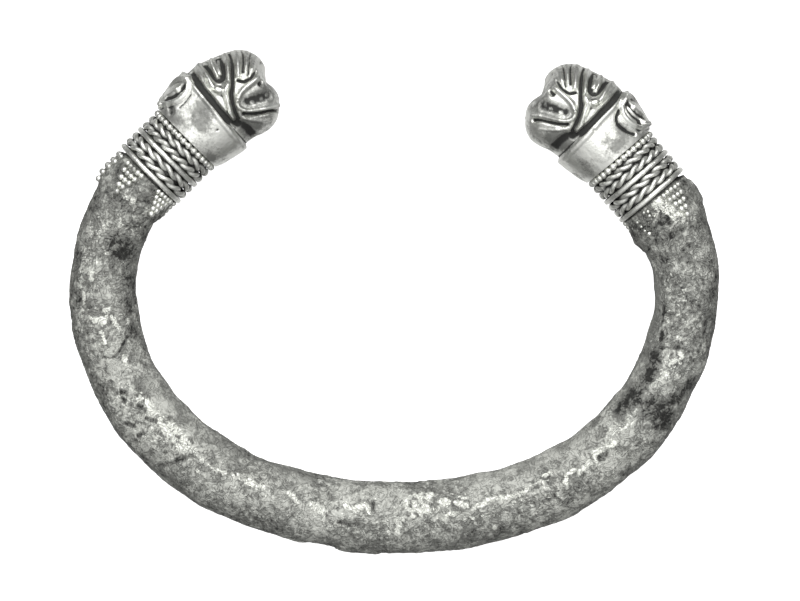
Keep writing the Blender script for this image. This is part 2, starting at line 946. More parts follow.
@dataclass(frozen=True)
class BarShape:
    """The bar's radius all along, with the crust's larger lumps."""

    core: float = 4.0
    back: float = 4.42
    back_blend: float = 12.0
    swell: float = 0.07
    even: float = 4.9
    swell_fade: float = 3.0
    left: tuple[Place, ...] = (
        (0, 4.5), (3.6, 4.5), (5.2, 4.12), (10, 4.0), (20, 4.18), (28, 4.12), (38, 4.4), (50, 4.32),
        (62, 4.3), (80, 4.42),
    )
    right: tuple[Place, ...] = (
        (0, 4.6), (4.2, 4.62), (6, 4.3), (10, 4.08), (17, 3.92), (27, 4.12), (38, 4.2), (48, 4.33),
        (58, 4.45), (80, 4.42),
    )
    # (distance back from the lower wire, bearing in degrees from straight up, height, spread)
    left_lumps: tuple[tuple[float, ...], ...] = (
        (3.4, 85, 0.22, 1.6), (30, 60, 0.16, 2.6), (35, -20, 0.2, 3.0), (42, 40, 0.14, 2.4),
        (47, -70, -0.16, 2.6), (58.5, 92, -0.24, 1.6),
    )
    right_lumps: tuple[tuple[float, ...], ...] = (
        (2.6, 88, 0.25, 1.8), (4.6, -80, 0.3, 1.7), (9, -95, -0.2, 2.2), (24, 80, -0.2, 2.6),
        (33, 10, 0.2, 3.0), (44, 30, 0.18, 2.8), (53, -40, 0.15, 2.4),
    )

    # ripples all round, as (height, turns along in radians per mm, times round, start in radians)
    ripples: tuple[tuple[float, ...], ...] = ((1.0, 0.55, 2, 0.0), (0.7, 1.1, -3, 1.3))

    def radius(self, side: Side, length: float, back: Array, bearing: Array) -> Array:
        """The bar's radius.

        Args:
            side: which half.
            length: from the hoop's back to the lower wire.
            back: distances back from the lower wire.
            bearing: degrees from straight up towards the outside of the hoop.

        Returns:
            The radius at each place.
        """
        stations = self.left if side is Side.LEFT else self.right
        lumps = self.left_lumps if side is Side.LEFT else self.right_lumps
        own = read_at(stations, back)
        calm = np.clip((back - self.even) / self.swell_fade, 0, 1)
        waves = sum(
            height * np.sin(along * back + times * np.radians(bearing) + start)
            for height, along, times, start in self.ripples
        )
        own = own + calm * self.swell * waves
        for at, facing, height, spread in lumps:
            beside = (bearing - facing + 180) % 360 - 180
            away = (back - at) ** 2 + (np.radians(beside) * own) ** 2
            own = own + height * np.exp(-away / spread**2)
        share = np.clip((length - back) / self.back_blend, 0, 1)
        return self.back + (own - self.back) * share


class MarkKind(Enum):
    """What a mark on the crust does: (height in mm, bare metal, tone, raggedness, softness of its edge)."""

    CHIP = (0.07, 1.0, 0.55, 0.7, 0.35)
    PALE = (0.03, 0.1, 0.5, 0.6, 0.9)
    DULL = (-0.02, -0.5, -0.4, 0.5, 0.9)
    DARK = (-0.05, -0.9, -1.3, 0.35, 0.98)
    PIT = (-0.16, -0.9, -0.85, 0.4, 0.5)
    CRACK = (-0.12, -0.6, -0.7, 0.25, 0.4)
    RIDGE = (0.16, 0.6, 0.35, 1.0, 0.55)
    EVEN = (0.0, -0.9, 0.25, 0.2, 0.9)
    LUMP = (0.2, 0.05, 0.3, 0.25, 0.8)
    LEDGE = (0.24, -0.3, -0.1, 0.2, 0.3)


@dataclass(frozen=True)
class CrustGrain:
    """The sizes of the crust's unevenness, in mm."""

    seeds: tuple[int, int, int] = (11, 23, 37)
    broad: float = 3.4
    small: float = 0.75
    knob: float = 1.7
    pit: float = 1.25
    tile: float = 0.95
    fray: float = 0.6
    # each with how far its pattern is shifted, so that no two of them agree
    rugged: Place = (7.0, 50.0)
    pitted: Place = (4.0, -30.0)
    bend: Place = (0.9, 9.0)
    broken: Place = (5.5, 80.0)
    patch: Place = (1.9, 20.0)
    streak: Place = (4.5, -60.0)
    streak_stretch: float = 1.6


@dataclass(frozen=True)
class CrustEdge:
    """Where each thing on the crust starts and where it is full."""

    rugged: Place = (-0.35, 0.35)
    pitted: Place = (0.1, 0.5)
    pit: Place = (0.34, 0.12)
    broken: Place = (-0.15, 0.45)
    joint: Place = (0.22, 0.02)
    jointed: Place = (-0.7, 0.2)
    crown: Place = (0.35, 0.95)
    patchy: Place = (-0.12, 0.16)
    streaky: Place = (0.0, 0.3)
    # along Y, in mm
    back: Place = (8.0, -16.0)


@dataclass(frozen=True)
class CrustTone:
    """How much each thing on the crust lightens or darkens it."""

    level: float = -0.32
    broad: float = 0.22
    crown: float = 0.34
    back: float = 0.38
    patches: float = 0.34
    streaks: float = -0.22
    tiles: float = 0.35
    pits: float = -0.6
    joints: float = -0.45


@dataclass
class CrustedHoop:
    """The bent bar, with its corroded skin."""

    line: HoopLine
    resting: Resting
    look: bpy.types.Material
    shape: BarShape = field(default_factory=BarShape)
    photo: Photograph = field(default_factory=Photograph)
    sizes: CrustGrain = field(default_factory=CrustGrain)
    edges: CrustEdge = field(default_factory=CrustEdge)
    tones: CrustTone = field(default_factory=CrustTone)
    # how much the crown, broad lumps and broken tiles show bare metal, and its level without them
    bared: tuple[float, float, float, float] = (0.26, 0.15, 0.25, -0.12)
    # the bar's end inside the collar, and where the crust starts, from the lower wire
    head_gap: float = 6.22
    wire_gap: float = 0.38
    skin_edge: float = 0.5
    step: float = 0.19
    columns: int = 144
    # heights in mm
    rough: float = 0.06
    grit: float = 0.045
    knobs: float = 0.05
    pits: float = 0.09
    tile_bend: float = 0.42
    tile_height: float = 0.09
    hollow_depth: float = 0.09
    # a ledge reaches this far round below the bar's side; other marks stay on top
    ledge_down: float = -0.6
    mark_edge: float = 0.12
    # how far from its run a mark can reach: its half width times the first, and the second more
    mark_reach: Place = (2.8, 0.3)
    # how deep joints are as a share of the pits, and how much of the relief calm skin loses
    joint_depth: float = 0.6
    calm_relief: float = 0.6

    # marks by kind, each as (half width in mm, strength, the picture places that it runs through)
    MARKS = {
        # dark patches on the arms
        MarkKind.DARK: (
            (1.3, 0.42, (118, 241), (123, 246)), (0.75, 0.75, (127, 246), (125, 253)),
            (0.75, 1.0, (653, 357), (645, 376), (631, 396), (620, 410)),
            (1.35, 0.95, (647, 403), (655, 400), (659, 412)), (0.8, 0.8, (661, 414), (662, 424)),
            (0.55, 0.8, (688, 382), (678, 393), (671, 401)),
        ),
        # duller areas and the shade beside the ridges
        MarkKind.DULL: (
            (0.6, 1.0, (124, 256), (117, 267)), (0.8, 1.0, (133, 256), (132, 280), (131, 306)),
            (0.7, 1.0, (96, 381), (104, 388)), (1.6, 1.0, (172, 470), (190, 470)),
            (1.5, 0.45, (205, 490), (240, 512), (280, 524)),
            (0.9, 0.6, (180, 408), (205, 430), (240, 452), (290, 472), (330, 482)),
            (0.5, 0.8, (196, 436), (226, 456), (262, 475), (290, 484)),
            (0.9, 0.7, (352, 545), (400, 548), (450, 545), (500, 532)),
            (1.2, 0.6, (444, 520), (462, 529), (480, 520)), (0.7, 0.55, (408, 530), (425, 524)),
            (0.8, 0.5, (285, 484), (306, 488)), (0.75, 1.0, (576, 478), (570, 492), (567, 503)),
            (0.6, 1.0, (617, 446), (624, 455)), (0.7, 1.0, (692, 366), (697, 356)),
            (1.0, 1.0, (708, 290), (706, 312), (702, 330)), (0.6, 1.0, (657, 226), (666, 227)),
            (0.7, 1.0, (670, 251)), (0.9, 0.9, (146, 196), (160, 178), (172, 190)),
            (1.0, 0.8, (650, 236), (668, 240), (684, 236)), (0.5, 1.0, (648, 208), (642, 216)),
            (0.9, 0.6, (108, 205), (120, 212)),
        ),
        # pale areas
        MarkKind.PALE: (
            (1.5, 0.45, (104, 222), (99, 245), (101, 268), (101, 296)),
            (0.5, 1.0, (99, 343), (100, 347)), (1.2, 0.9, (112, 362), (118, 372), (124, 384)),
            (1.7, 0.4, (128, 410), (140, 424), (152, 440), (168, 452)),
            (0.9, 0.9, (262, 489), (275, 493), (284, 500)), (0.5, 1.0, (214, 487)),
            (0.55, 1.0, (240, 498)), (1.3, 0.8, (318, 503), (336, 492), (360, 489)),
            (1.4, 0.8, (388, 510), (392, 530)), (1.3, 0.4, (409, 500), (424, 500)),
            (1.2, 0.8, (602, 468), (614, 461)), (0.6, 1.0, (505, 518)), (0.8, 0.9, (648, 436)),
        ),
        # flakes of bare metal
        MarkKind.CHIP: (
            (0.28, 1.0, (92, 272), (93, 279)), (0.16, 1.0, (85, 292), (86, 303)),
            (0.22, 1.0, (106, 309), (110, 308)),
            (0.25, 0.9, (93, 317), (96, 320), (107, 317), (105, 323)),
            (0.22, 0.9, (113, 315), (116, 320), (121, 329)),
            (0.22, 0.9, (102, 331), (105, 335), (106, 342)), (0.28, 1.0, (125, 355), (127, 363)),
            (0.3, 1.0, (133, 386)), (0.28, 1.0, (141, 395), (143, 397)),
            (0.3, 1.0, (148, 399), (152, 407), (159, 412)),
            (0.36, 0.6, (161, 420), (167, 430), (170, 434)),
            (0.38, 0.6, (176, 424), (184, 434), (187, 446), (181, 446)), (0.25, 1.0, (199, 469)),
            (0.9, 0.2, (141, 395), (156, 411), (172, 428)),
            (1.1, 0.24, (170, 430), (182, 442), (190, 450)), (0.34, 1.0, (290, 492), (297, 501)),
            (0.36, 1.0, (314, 503), (318, 508), (324, 511)),
            (0.36, 1.0, (346, 504), (350, 508), (358, 507)),
            (0.28, 1.0, (358, 505), (368, 504), (369, 511)), (0.4, 1.0, (397, 520), (400, 519)),
            (0.24, 1.0, (397, 528), (398, 534)), (0.36, 1.0, (406, 503), (408, 500)),
            (0.34, 1.0, (411, 509)), (0.4, 1.0, (414, 501), (415, 504)),
            (0.32, 1.0, (416, 495), (420, 494)), (0.3, 1.0, (413, 514)), (0.36, 1.0, (421, 500)),
            (0.34, 1.0, (419, 508), (420, 511)), (0.38, 1.0, (425, 505), (427, 508)),
            (0.36, 1.0, (427, 496), (430, 494)), (0.42, 1.0, (440, 501), (447, 500)),
            (0.32, 1.0, (456, 501), (465, 504)), (0.27, 1.0, (443, 517), (449, 512), (454, 511)),
            (0.2, 1.0, (544, 474), (549, 471), (552, 474)),
            (0.26, 1.0, (564, 481), (566, 474), (573, 469)),
            (0.32, 1.0, (579, 472), (583, 466), (589, 461)),
            (0.38, 1.0, (594, 452), (604, 446), (614, 442)), (0.24, 1.0, (593, 453), (595, 459)),
            (0.26, 1.0, (494, 525)), (0.18, 1.0, (482, 514)), (0.18, 1.0, (473, 517)),
            (0.6, 0.45, (609, 434), (617, 426), (625, 423)), (0.6, 0.45, (630, 419), (637, 409)),
            (0.4, 0.55, (669, 365), (673, 360), (680, 355)), (0.6, 0.5, (656, 382), (662, 376)),
            (0.6, 0.42, (644, 397), (654, 390)), (1.15, 0.55, (657, 206), (665, 210)),
            (0.3, 0.8, (672, 214), (680, 214)),
        ),
        # lumps of crust
        MarkKind.LUMP: (
            (0.5, 1.0, (99, 345)), (0.9, 1.0, (110, 350), (115, 348)),
        ),
        # cracks
        MarkKind.CRACK: (
            (0.17, 1.0, (129, 336), (124, 344), (119, 353), (113, 357), (105, 356)),
            (0.24, 0.6, (160, 464), (171, 462), (182, 458), (193, 453)),
            (0.4, 0.9, (660, 335), (662, 346)),
            (0.16, 0.6, (661, 277), (663, 292), (662, 317), (660, 338)),
        ),
        # pits
        MarkKind.PIT: (
            (0.3, 1.0, (123, 390), (128, 392)), (0.24, 1.0, (124, 397), (126, 401)),
            (0.26, 1.0, (132, 403)), (0.24, 1.0, (140, 404), (143, 406)),
            (0.3, 1.0, (127, 423), (134, 425)), (0.24, 1.0, (148, 417), (157, 420)),
            (0.24, 1.0, (139, 435), (145, 432)), (0.3, 0.7, (373, 502), (374, 509)),
            (0.5, 0.6, (346, 520), (362, 522)), (0.16, 1.0, (417, 506)),
            (0.15, 1.0, (410, 504), (411, 505)), (0.42, 1.0, (599, 457), (604, 454)),
            (0.6, 1.0, (660, 219), (665, 221)),
        ),
        # the ragged ridge along the back
        MarkKind.RIDGE: (
            (0.26, 0.38, (188, 440), (201, 456), (211, 465), (225, 471)),
            (0.36, 0.38, (225, 471), (240, 475), (255, 483), (268, 491)),
            (0.27, 0.7, (474, 506), (484, 501), (493, 497), (504, 496), (516, 494), (524, 490)),
            (0.17, 0.85, (524, 489), (537, 481), (547, 479)),
        ),
        # stretches where the skin is smooth, along the inside
        MarkKind.EVEN: (
            (0.9, 1.0, (150, 380), (163, 397), (190, 424), (222, 448), (262, 467), (310, 480)),
            (0.9, 1.0, (470, 481), (520, 468), (556, 452), (590, 432)),
            (0.62, 1.0, (656, 284), (657, 305), (654, 326), (648, 350), (636, 374), (612, 402)),
        ),
        # steps in the outline
        MarkKind.LEDGE: (
            (1.0, 1.0, (343, 553), (372, 556)), (0.8, 1.0, (690, 186), (698, 196)),
            (0.9, 0.25, (97, 174), (104, 162), (112, 151)), (0.7, 1.0, (634, 234), (642, 246)),
        ),
    }

    def make(self) -> bpy.types.Object:
        """Builds the hoop from the end inside one collar round to the end inside the other.

        Returns:
            The hoop.
        """
        bearing = np.arange(self.columns) * 360.0 / self.columns
        rings, weights = [], []
        for side in Side:
            length = self.line.length(side)
            steps = round((length - self.wire_gap) / self.step)
            crusted = np.linspace(self.wire_gap, length, steps)
            back = np.concatenate([[-self.head_gap, -self.wire_gap], crusted])
            at, _, outward = self.line.at(side, length - back)
            b, t = np.meshgrid(back, bearing, indexing="ij")
            radius = self.shape.radius(side, length, b.ravel(), t.ravel()).reshape(b.shape)
            radius = np.where(b < self.wire_gap + 1e-6, self.shape.core, radius)
            out = np.stack([np.sin(np.radians(t)), np.cos(np.radians(t))], axis=-1)
            flat = at[:, None, :] + outward[:, None, :] * (radius * out[..., 0])[..., None]
            ring = np.concatenate([flat, (radius * out[..., 1])[..., None]], axis=2)
            away = np.concatenate([outward[:, None, :] * out[..., :1], out[..., 1:]], axis=2)
            skin = smooth_step(self.wire_gap, self.wire_gap + self.skin_edge, b)
            part = (ring, away, skin)
            if side is Side.RIGHT:
                part = tuple(values[::-1][1:] for values in part)
            rings.append(part[:2])
            weights.append(part[2])
        ring = np.concatenate([r for r, _ in rings])
        away = np.concatenate([a for _, a in rings])
        skin = np.concatenate(weights)
        shape = ring.shape
        points, normal, weight = ring.reshape(-1, 3), away.reshape(-1, 3), skin.ravel()
        height, bare, tone, calm = self._weather(points, normal)
        points = points + normal * (height * weight)[:, None]
        deep = hollowness(points.reshape(shape), 12, self.hollow_depth)
        caps = np.array([points[: self.columns].mean(axis=0), points[-self.columns:].mean(axis=0)])
        quads, fans = closed_grid(shape[0], shape[1], True)
        mesh = mesh_of("hoop_crust", self.resting.settle(np.vstack([points, caps])), quads, fans)
        looks = {"tone": tone, "bare": bare, "calm": calm, "hollow": np.clip(deep, -1, 1)}
        for name, values in looks.items():
            give(mesh, name, values)
        return Piece.show("hoop_crust", mesh, self.look, "crust", ["hoop"])

    def _weather(self, points: Array, normal: Array) -> tuple[Array, Array, Array, Array]:
        """The crust's own relief and looks at each point.

        Args:
            points: the even bar's points.
            normal: which way each faces.

        Returns:
            Height in millimetres, bare metal, tone and how calm the skin is.
        """
        slow, fine, spots = (Grain(seed) for seed in self.sizes.seeds)
        sizes, edges, tones = self.sizes, self.edges, self.tones

        def read(grain: Grain, look: Place) -> Array:
            """Reads a pattern at its size, shifted by its own shift."""
            return grain.at(points + look[1], look[0])

        broad = slow.rough(points, sizes.broad, 3)
        small = fine.rough(points, sizes.small, 2)
        height = self.rough * broad + self.grit * small
        ridged = 1 - 2 * np.abs(fine.at(points, sizes.knob))
        rugged = smooth_step(*edges.rugged, read(slow, sizes.rugged) + 0.25 * normal[:, 2])
        height += self.knobs * ridged * rugged
        near, _, _ = spots.cells(points, sizes.pit)
        pit = smooth_step(*edges.pit, near) * (smooth_step(*edges.pitted, read(slow, sizes.pitted)) * rugged)
        # broken tiles of skin with dark joints between them
        wobble = np.column_stack([small, read(fine, sizes.bend), broad])
        inner, outer, own = spots.cells(points + self.tile_bend * wobble, sizes.tile)
        broken = smooth_step(*edges.broken, read(slow, sizes.broken))
        joint = smooth_step(*edges.joint, outer - inner) * broken * smooth_step(*edges.jointed, small)
        height += self.tile_height * broken * (0.5 - inner + 0.5 * own)
        height -= self.pits * np.maximum(pit, self.joint_depth * joint)
        crown = smooth_step(*edges.crown, normal[:, 2])
        size, shift = sizes.patch
        patchy = smooth_step(*edges.patchy, fine.rough(points + shift, size, 3) + 0.15 * small)
        size, shift = sizes.streak
        drawn = points * [1.0, 1.0, sizes.streak_stretch] + shift
        streaky = smooth_step(*edges.streaky, slow.rough(drawn, size, 3))
        on_crown, on_broad, on_tiles, level = self.bared
        bare = on_crown * crown * rugged + on_broad * broad + on_tiles * broken * (own - 0.5) + level
        # the arms are darker than the back, and the skin is dark towards the underside
        back = smooth_step(*edges.back, points[:, 1])
        tone = tones.level + tones.broad * broad + tones.crown * crown + tones.back * back
        tone += tones.patches * (patchy - 0.5) + tones.streaks * (streaky - 0.4)
        tone += tones.tiles * broken * (own - 0.5) + tones.pits * pit + tones.joints * joint
        frayed = fine.rough(points, self.sizes.fray, 3)
        calm = np.zeros(len(points))
        for kind, marks in self.MARKS.items():
            lift, shine, shade, ragged, soft = kind.value
            least = self.ledge_down if kind is MarkKind.LEDGE else 0.0
            over = smooth_step(least, least + self.mark_edge, normal[:, 2])
            for half, strength, *run in marks:
                cover = self._cover(points, half, tuple(run), frayed * ragged, soft) * over * strength
                height += lift * cover
                bare += shine * cover
                tone += shade * cover
                if kind is MarkKind.EVEN:
                    calm = np.maximum(calm, cover)
        height = height * (1 - self.calm_relief * calm)
        return height, np.clip(bare, -1, 1), np.clip(tone, -1.3, 1), calm

    def _cover(
        self, points: Array, half: float, run: tuple[Place, ...], fray: Array, soft: float,
    ) -> Array:
        """How much of a mark lies on each point, seen from above.

        Args:
            points: the bar's points.
            half: the mark's half width in millimetres.
            run: the picture places that it runs through.
            fray: how ragged its edge is at each point.
            soft: how softly it ends.

        Returns:
            A share from 0 to 1 for each point.
        """
        places = self.photo.seen(run)
        cover = np.zeros(len(points))
        reach = half * self.mark_reach[0] + self.mark_reach[1]
        close = np.all(points[:, :2] > places.min(axis=0) - reach, axis=1)
        close &= np.all(points[:, :2] < places.max(axis=0) + reach, axis=1)
        if not close.any():
            return cover
        spot = points[close, :2]
        away = np.full(len(spot), 1e9)
        for one, two in zip(places, places[1:] if len(places) > 1 else places):
            leg = two - one
            share = np.clip((spot - one) @ leg / max(leg @ leg, 1e-9), 0, 1)
            away = np.minimum(away, np.linalg.norm(spot - one - share[:, None] * leg, axis=1))
        cover[close] = smooth_step(1 + soft, 1 - soft, away / half + fray[close])
        return cover


@dataclass(frozen=True)
class CollarSizes:
    """What is wound round each end of the bar, as distances along the end's axis from the lower wire."""

    core: float = 4.0
    clear: float = 0.05
    snug: float = 0.08
    rope_gap: float = 0.03
    wire_width: float = 0.66
    rope_width: float = 1.01
    twists: tuple[int, ...] = (8, 8, 9, 9)
    beads: int = 34
    bead_width: float = 0.84

    @property
    def band(self) -> float:
        """The outside radius of the wires and plaits."""
        return self.core + self.clear + self.rope_width

    @property
    def plait_steps(self) -> Place:
        """How far a plait's two ropes lie from the wire before them."""
        first = self.wire_width / 2 + self.snug + self.rope_width / 2
        return first, first + self.rope_width + self.rope_gap

    @property
    def wire_at(self) -> Place:
        """Where the two plain wires lie."""
        return 0.0, self.plait_steps[1] + self.rope_width / 2 + self.snug + self.wire_width / 2

    @property
    def rope_at(self) -> tuple[float, ...]:
        """Where the four ropes lie."""
        return tuple(wire + step for wire in self.wire_at for step in self.plait_steps)

    @property
    def bead_ring_at(self) -> float:
        """Where the beaded ring lies."""
        return self.rope_at[-1] + self.rope_width / 2 + self.clear + self.bead_width / 2

    @property
    def head_base(self) -> float:
        """Where the head's sleeve starts."""
        return self.bead_ring_at + self.bead_width / 2 + self.clear


@dataclass
class Collar:
    """Plain wires, plaits of twisted wire and a beaded ring round one end of the bar."""

    end: EndFrame
    resting: Resting
    silver: bpy.types.Material
    strand_tree: GrownMesh
    bead_tree: GrownMesh
    # how far each rope's uppermost strand lies from the end's axis, and the beaded ring's bead
    rope_shift: tuple[float, ...]
    bead_shift: float
    sizes: CollarSizes = field(default_factory=CollarSizes)
    wire_steps: int = 240
    wire_sides: int = 20
    strand_steps: int = 26
    strand_sides: int = 12
    strand_offset: float = 0.235
    strand_swell: float = 0.012
    # how far a wire wanders, and over what length
    wire_drift: Place = (0.035, 1.6)
    wire_squareness: float = 0.25
    # how high a wire stands at its sides, and how flat its outside is worn
    wire_wear: Place = (1.12, 0.1)
    bead_rise: float = 0.04
    bead_core: float = 0.3
    bead_sides: int = 10
    bead_rounds: int = 3
    # how unevenly the beads are spaced round the ring and along it, and their least size and its spread
    bead_jitter: Place = (0.12, 0.05)
    bead_scale: Place = (0.97, 0.09)
    # how far below the collar's outside dirt has filled the wires, the plaits and the beads
    wire_dirt: float = 0.5
    plait_dirt: float = 0.4
    bead_dirt: float = 0.85

    def _ring(self, t: Array, along: Array, radius: Array) -> Array:
        """Points round the end's axis, laid out."""
        return self.end.place(np.column_stack([along, radius * np.sin(t), radius * np.cos(t)]))

    def _deepen(self, mesh: bpy.types.Mesh, depth: float) -> None:
        """Marks what lies under the collar's outside as hollow, where dirt stays.

        Args:
            mesh: a piece of the collar.
            depth: how deep, in millimetres, counts as fully hollow.
        """
        middle = self.resting.settle(self.end.place(np.array([[0.0, 0, 0], [1.0, 0, 0]])))
        axis = (middle[1] - middle[0]) / np.linalg.norm(middle[1] - middle[0])
        offset = places_of(mesh) - middle[0]
        radius = np.linalg.norm(offset - np.outer(offset @ axis, axis), axis=1) / MM
        give(mesh, "hollow", np.clip((self.sizes.band - radius) / depth - 0.1, 0, 1.2))
        give(mesh, "stain", [])

    def wires(self) -> None:
        """The two plain wires, a little uneven and worn on their outsides."""
        sizes = self.sizes
        high = sizes.band - sizes.core - sizes.clear
        for k, (name, at) in enumerate(zip(("lower_wire", "middle_wire"), sizes.wire_at)):
            label = f"{self.end.side.value}_{name}"
            t, turn = np.meshgrid(
                np.arange(self.wire_steps) * TURN / self.wire_steps,
                np.arange(self.wire_sides) * TURN / self.wire_sides,
                indexing="ij",
            )
            wander = Grain(self.end.seed(Draw.WIRES, k))
            circle = np.column_stack([np.cos(t).ravel(), np.sin(t).ravel(), np.zeros(t.size)]) * sizes.core
            drift = self.wire_drift[0] * wander.rough(circle, self.wire_drift[1], 2).reshape(t.shape)
            # a little squarer than round, and worn flatter on the outside
            across = np.cos(turn) * np.abs(np.cos(turn)) ** -self.wire_squareness
            along = at + drift + (sizes.wire_width / 2) * across
            out = np.sin(turn)
            high_side, flat = self.wire_wear
            worn = np.minimum(out * high_side, 1 - flat * np.cos(turn) ** 2)
            worn = np.where(out > 0, worn, out)
            radius = sizes.core + sizes.clear + high / 2 + (high / 2) * worn + 0.5 * drift
            points = self._ring(t.ravel(), along.ravel(), radius.ravel())
            quads, fans = closed_grid(self.wire_steps, self.wire_sides, False)
            mesh = mesh_of(label + "_drawn", self.resting.settle(points), quads, fans)
            self._deepen(mesh, self.wire_dirt)
            Piece.show(label + "_drawn", mesh, self.silver, "wirework", [label])

    def plaits(self) -> None:
        """Each plait is two ropes twisted opposite ways, each of two strands."""
        sizes = self.sizes
        middle = sizes.core + sizes.clear + sizes.rope_width / 2
        for k, (at, twists) in enumerate(zip(sizes.rope_at, sizes.twists)):
            hand = -1 if k % 2 else 1
            label = f"{self.end.side.value}_{'upper' if k > 1 else 'lower'}_plait_{k % 2 + 1}"
            steps = twists * self.strand_steps
            t = np.arange(steps) * TURN / steps
            start = math.pi / 2 - hand * twists * self.end.up * self.rope_shift[k] / middle
            meshes = []
            for strand in (0, 1):
                turn = start + hand * twists * t + strand * math.pi
                offset = sizes.rope_width * self.strand_offset
                along = at + offset * np.cos(turn)
                radius = middle + offset * np.sin(turn)
                points = self.resting.settle(self._ring(t, along, radius))
                path = path_mesh(f"{label}_{strand}", points, True)
                thick = sizes.rope_width / 2 + self.strand_swell - offset
                values = {"Radius": thick * MM, "Sides": self.strand_sides}
                meshes.append(self.strand_tree.grow(f"{label}_strand_{strand}", path, values))
            mesh = joined(label + "_twisted", meshes)
            self._deepen(mesh, self.plait_dirt)
            Piece.show(label + "_twisted", mesh, self.silver, "wirework", [label])

    def beaded_ring(self) -> None:
        """The ring of beads against the head."""
        sizes = self.sizes
        label = f"{self.end.side.value}_beaded_ring"
        draw = np.random.default_rng(self.end.seed(Draw.BEADS))
        radius = sizes.band - sizes.bead_width / 2 + self.bead_rise
        count, (least, spread) = sizes.beads, self.bead_scale
        t = (np.arange(count) + self.bead_jitter[0] * (draw.random(count) - 0.5)) * TURN / count
        t += self.bead_shift / radius
        bead = sizes.bead_width / 2 * (least + spread * draw.random(count))
        along = sizes.bead_ring_at + self.bead_jitter[1] * (draw.random(count) - 0.5)
        points = self.resting.settle(self._ring(t, along, np.full(count, radius)))
        path = path_mesh(label, points, True, bead * MM)
        values = {"Radius": sizes.bead_width * self.bead_core * MM}
        values |= {"Sides": self.bead_sides, "Rounds": self.bead_rounds}
        mesh = self.bead_tree.grow(label + "_beads", path, values)
        self._deepen(mesh, self.bead_dirt)
        Piece.show(label + "_beads", mesh, self.silver, "wirework", [label])


def joined(name: str, meshes: list[bpy.types.Mesh]) -> bpy.types.Mesh:
    """Several meshes as one.

    Args:
        name: the new mesh's name.
        meshes: what is put together.

    Returns:
        The mesh.
    """
    points, faces, start = [], [], 0
    for mesh in meshes:
        points.append(places_of(mesh))
        faces += [[start + v for v in face.vertices] for face in mesh.polygons]
        start += len(mesh.vertices)
    made = bpy.data.meshes.new(name)
    made.from_pydata(np.vstack(points), [], faces)
    made.polygons.foreach_set("use_smooth", np.ones(len(made.polygons), bool))
    made.update()
    return made


